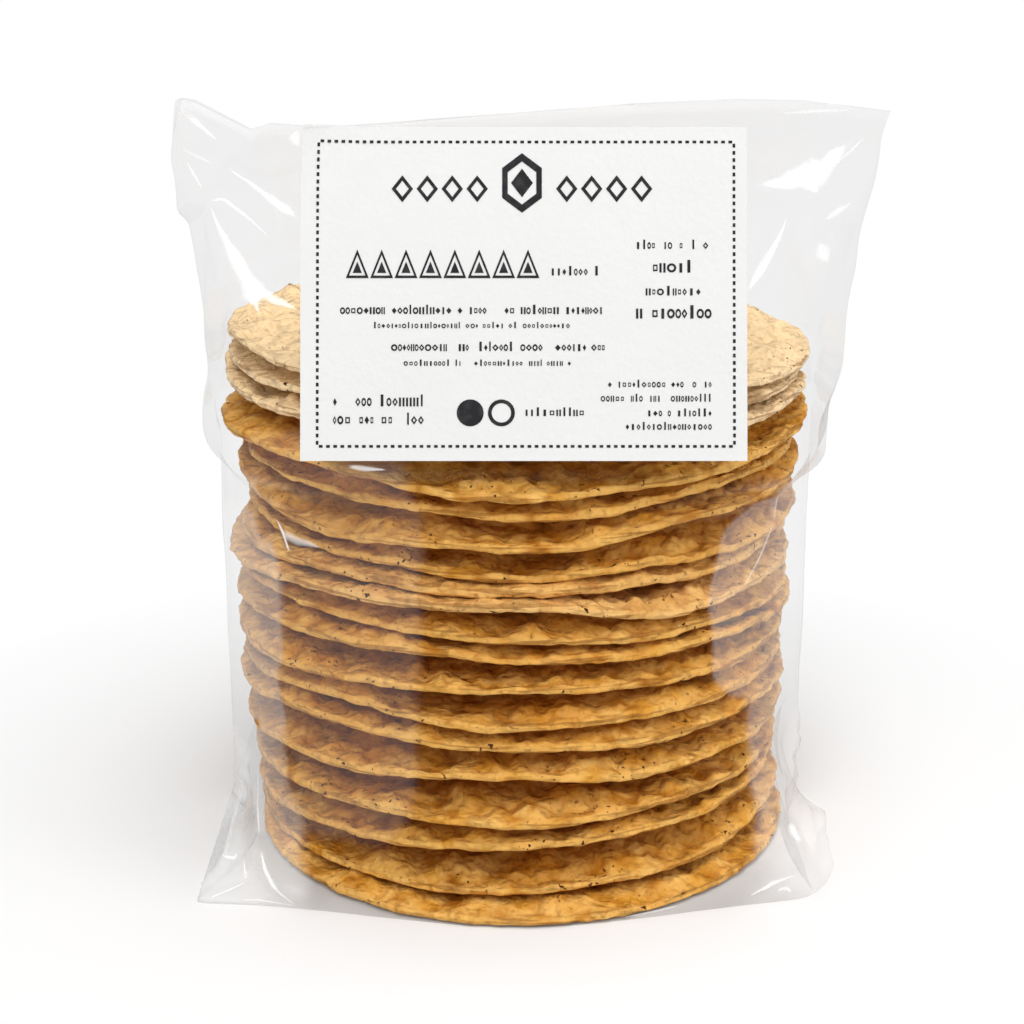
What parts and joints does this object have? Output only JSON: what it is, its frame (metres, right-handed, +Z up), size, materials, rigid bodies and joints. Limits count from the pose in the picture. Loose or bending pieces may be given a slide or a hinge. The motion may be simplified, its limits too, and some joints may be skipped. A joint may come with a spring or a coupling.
{
  "type": "clear bag of stacked corn tostadas",
  "caption": "Stack of wavy golden corn tostadas standing upright in a clear sealed film bag, with a white paper label on its front.",
  "frame": {"origin": "on the surface the bag stands on, under the middle of its outline", "axes": "+Z up, -Y towards the label, +X to the right of the label"},
  "size_m": [0.123, 0.1156, 0.148],
  "materials": {
    "tostada": "matt toasted corn, golden with darker specks",
    "film": "thin clear glossy film with creases",
    "label": "smooth white paper",
    "print": "dark grey and black ink"
  },
  "bodies": {
    "root": {"bag": "film", "label": "label"}
  },
  "joints": []
}
